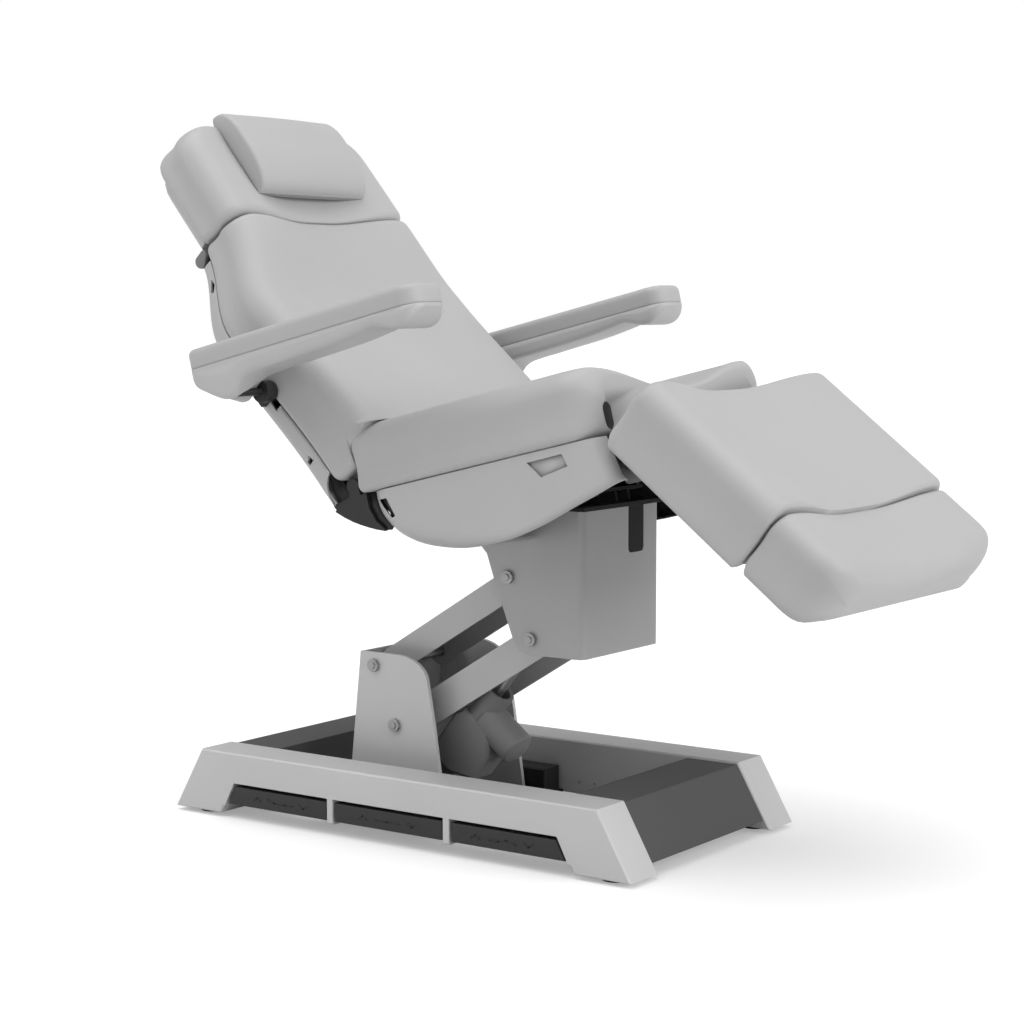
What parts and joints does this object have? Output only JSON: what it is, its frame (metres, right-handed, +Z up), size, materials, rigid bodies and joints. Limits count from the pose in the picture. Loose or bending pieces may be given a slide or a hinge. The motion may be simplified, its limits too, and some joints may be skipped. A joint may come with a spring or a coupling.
{
  "type": "electric examination table",
  "caption": "Motorised treatment table in chair pose: lifting arms on a floor base, tilting padded seat, back, head, leg and foot sections, folding armrests.",
  "frame": {"origin": "on the floor, in the middle of the object's box", "axes": "+X toward the foot end, +Y toward the far side, +Z up"},
  "size_m": [1.4774, 0.874, 1.3283],
  "materials": {
    "silver_paint": "satin silver-grey powder coat",
    "dark_plastic": "dark grey moulded plastic",
    "beam_paint": "dark grey powder coat",
    "rubber": "black rubber",
    "black_paint": "black powder coat",
    "steel": "zinc plated steel",
    "drive_plastic": "mid grey motor housing",
    "vinyl": "soft light grey upholstery vinyl",
    "pale_plastic": "light grey vacuum-formed plastic"
  },
  "bodies": {
    "base": {"near_side_rail": "silver_paint", "far_side_rail": "silver_paint", "foot_end_beam": "beam_paint", "head_end_beam": "beam_paint", "mains_inlet": "dark_plastic", "near_head_rubber_foot": "rubber", "far_head_rubber_foot": "rubber", "near_foot_rubber_foot": "rubber", "far_foot_rubber_foot": "rubber", "base_plate": "black_paint", "control_box": "black_paint", "near_post_plate": "silver_paint", "far_post_plate": "silver_paint", "post_back_plate": "silver_paint", "upper_post_bolt": "steel", "lower_post_bolt": "steel"},
    "near_pedal_head": {"near_pedal_head": "dark_plastic"},
    "near_pedal_middle": {"near_pedal_middle": "dark_plastic"},
    "near_pedal_foot": {"near_pedal_foot": "dark_plastic"},
    "far_pedal_head": {"far_pedal_head": "dark_plastic"},
    "far_pedal_middle": {"far_pedal_middle": "dark_plastic"},
    "far_pedal_foot": {"far_pedal_foot": "dark_plastic"},
    "upper_arm": {"upper_arm": "silver_paint"},
    "lower_arm": {"lower_arm": "silver_paint"},
    "lift_drive": {"lift_actuator_body": "drive_plastic"},
    "lift_rod": {"lift_actuator_rod": "steel"},
    "column": {"column_shell": "silver_paint", "lower_column_bolt": "steel", "upper_column_bolt": "steel", "column_cap": "black_paint", "tilt_actuator_tube": "drive_plastic"},
    "tilt_rod": {"tilt_actuator_rod": "steel"},
    "seat": {"seat_cushion": "vinyl", "seat_frame": "black_paint", "seat_mount": "black_paint", "seat_shell": "pale_plastic", "near_hip_cover": "black_paint", "far_hip_cover": "black_paint", "hip_shaft": "steel", "back_actuator_tube": "drive_plastic", "leg_actuator_tube": "drive_plastic"},
    "back_rod": {"back_actuator_rod": "steel"},
    "back": {"back_cushion": "vinyl", "back_shell": "pale_plastic", "back_frame": "black_paint"},
    "head": {"head_cushion": "vinyl", "head_frame": "black_paint", "head_shell": "pale_plastic", "pillow": "vinyl"},
    "leg": {"leg_cushion": "vinyl", "leg_frame": "black_paint"},
    "leg_rod": {"leg_actuator_rod": "steel"},
    "foot": {"foot_cushion": "vinyl", "foot_frame": "black_paint"},
    "near_arm_bracket": {"near_arm_bracket": "black_paint"},
    "far_arm_bracket": {"far_arm_bracket": "black_paint"},
    "near_armrest": {"near_arm_shell": "pale_plastic", "near_arm_cushion": "vinyl"},
    "far_armrest": {"far_arm_shell": "pale_plastic", "far_arm_cushion": "vinyl"}
  },
  "joints": [
    {"name": "lift", "type": "hinge", "parent": "base", "child": "lower_arm", "pos_m": [-0.25374, 0, 0.186], "axis": [0, -1, 0], "range_deg": [-36.5, 28.5]},
    {"name": "upper_arm_pivot", "type": "hinge", "parent": "base", "child": "upper_arm", "pos_m": [-0.30274, 0, 0.294], "axis": [0, -1, 0], "range_deg": [-36.5, 28.5]},
    {"name": "column_level", "type": "hinge", "parent": "lower_arm", "child": "column", "pos_m": [0.05031, 0, 0.37232], "axis": [0, -1, 0], "range_deg": [-28.5, 36.5]},
    {"name": "lift_drive_swing", "type": "hinge", "parent": "base", "child": "lift_drive", "pos_m": [-0.21574, 0, 0.08], "axis": [0, -1, 0], "range_deg": [-30.55, 23.85]},
    {"name": "lift_rod_swing", "type": "hinge", "parent": "lower_arm", "child": "lift_rod", "pos_m": [-0.02353, 0, 0.32708], "axis": [0, -1, 0], "range_deg": [-4.65, 5.95]},
    {"name": "seat_tilt", "type": "hinge", "parent": "column", "child": "seat", "pos_m": [-0.00565, 0, 0.57487], "axis": [0, -1, 0], "range_deg": [-13.5, 6.5]},
    {"name": "tilt_rod_pivot", "type": "hinge", "parent": "seat", "child": "tilt_rod", "pos_m": [0.12131, 0, 0.58982], "axis": [0, -1, 0], "range_deg": [-6.5, 13.5]},
    {"name": "recline", "type": "hinge", "parent": "seat", "child": "back", "pos_m": [-0.21923, 0, 0.64289], "axis": [0, -1, 0], "range_deg": [-3, 62]},
    {"name": "back_rod_pivot", "type": "hinge", "parent": "back", "child": "back_rod", "pos_m": [-0.23823, 0, 0.58074], "axis": [0, -1, 0], "range_deg": [-62, 3]},
    {"name": "head_tilt", "type": "hinge", "parent": "back", "child": "head", "pos_m": [-0.6133, 0, 1.04289], "axis": [0, -1, 0], "range_deg": [-2, 35]},
    {"name": "leg_raise", "type": "hinge", "parent": "seat", "child": "leg", "pos_m": [0.30607, 0, 0.7325], "axis": [0, -1, 0], "range_deg": [-15, 51.4]},
    {"name": "leg_rod_pivot", "type": "hinge", "parent": "leg", "child": "leg_rod", "pos_m": [0.30816, 0, 0.69255], "axis": [0, -1, 0], "range_deg": [-51.4, 15]},
    {"name": "foot_slide", "type": "slide", "parent": "leg", "child": "foot", "axis": [0.7891, 0, -0.6143], "range_m": [0, 0.12]},
    {"name": "near_pedal_head_rock", "type": "hinge", "parent": "base", "child": "near_pedal_head", "pos_m": [-0.41759, -0.25275, 0.046], "axis": [0, -1, 0], "range_deg": [-3, 3], "stiffness_Nm_per_rad": 4},
    {"name": "near_pedal_middle_rock", "type": "hinge", "parent": "base", "child": "near_pedal_middle", "pos_m": [-0.15574, -0.25275, 0.046], "axis": [0, -1, 0], "range_deg": [-3, 3], "stiffness_Nm_per_rad": 4},
    {"name": "near_pedal_foot_rock", "type": "hinge", "parent": "base", "child": "near_pedal_foot", "pos_m": [0.1061, -0.25275, 0.046], "axis": [0, -1, 0], "range_deg": [-3, 3], "stiffness_Nm_per_rad": 4},
    {"name": "far_pedal_head_rock", "type": "hinge", "parent": "base", "child": "far_pedal_head", "pos_m": [-0.41759, 0.25275, 0.046], "axis": [0, -1, 0], "range_deg": [-3, 3], "stiffness_Nm_per_rad": 4},
    {"name": "far_pedal_middle_rock", "type": "hinge", "parent": "base", "child": "far_pedal_middle", "pos_m": [-0.15574, 0.25275, 0.046], "axis": [0, -1, 0], "range_deg": [-3, 3], "stiffness_Nm_per_rad": 4},
    {"name": "far_pedal_foot_rock", "type": "hinge", "parent": "base", "child": "far_pedal_foot", "pos_m": [0.1061, 0.25275, 0.046], "axis": [0, -1, 0], "range_deg": [-3, 3], "stiffness_Nm_per_rad": 4},
    {"name": "near_arm_level", "type": "hinge", "parent": "back", "child": "near_arm_bracket", "pos_m": [-0.39567, -0.33, 0.80777], "axis": [0, -1, 0], "range_deg": [-62, 3]},
    {"name": "near_arm_fold", "type": "hinge", "parent": "near_arm_bracket", "child": "near_armrest", "pos_m": [-0.39567, -0.33, 0.80777], "axis": [0, -1, 0], "range_deg": [0, 70]},
    {"name": "far_arm_level", "type": "hinge", "parent": "back", "child": "far_arm_bracket", "pos_m": [-0.39567, 0.33, 0.80777], "axis": [0, -1, 0], "range_deg": [-62, 3]},
    {"name": "far_arm_fold", "type": "hinge", "parent": "far_arm_bracket", "child": "far_armrest", "pos_m": [-0.39567, 0.33, 0.80777], "axis": [0, -1, 0], "range_deg": [0, 70]}
  ],
  "couplings": [
    {"joint": "upper_arm_pivot", "follows": "lift", "ratio": 1},
    {"joint": "column_level", "follows": "lift", "ratio": -1},
    {"joint": "lift_drive_swing", "follows": "lift", "ratio": 0.837},
    {"joint": "lift_rod_swing", "follows": "lift", "ratio": -0.163},
    {"joint": "tilt_rod_pivot", "follows": "seat_tilt", "ratio": -1},
    {"joint": "back_rod_pivot", "follows": "recline", "ratio": -1},
    {"joint": "leg_rod_pivot", "follows": "leg_raise", "ratio": -1},
    {"joint": "near_arm_level", "follows": "recline", "ratio": -1},
    {"joint": "far_arm_level", "follows": "recline", "ratio": -1}
  ]
}
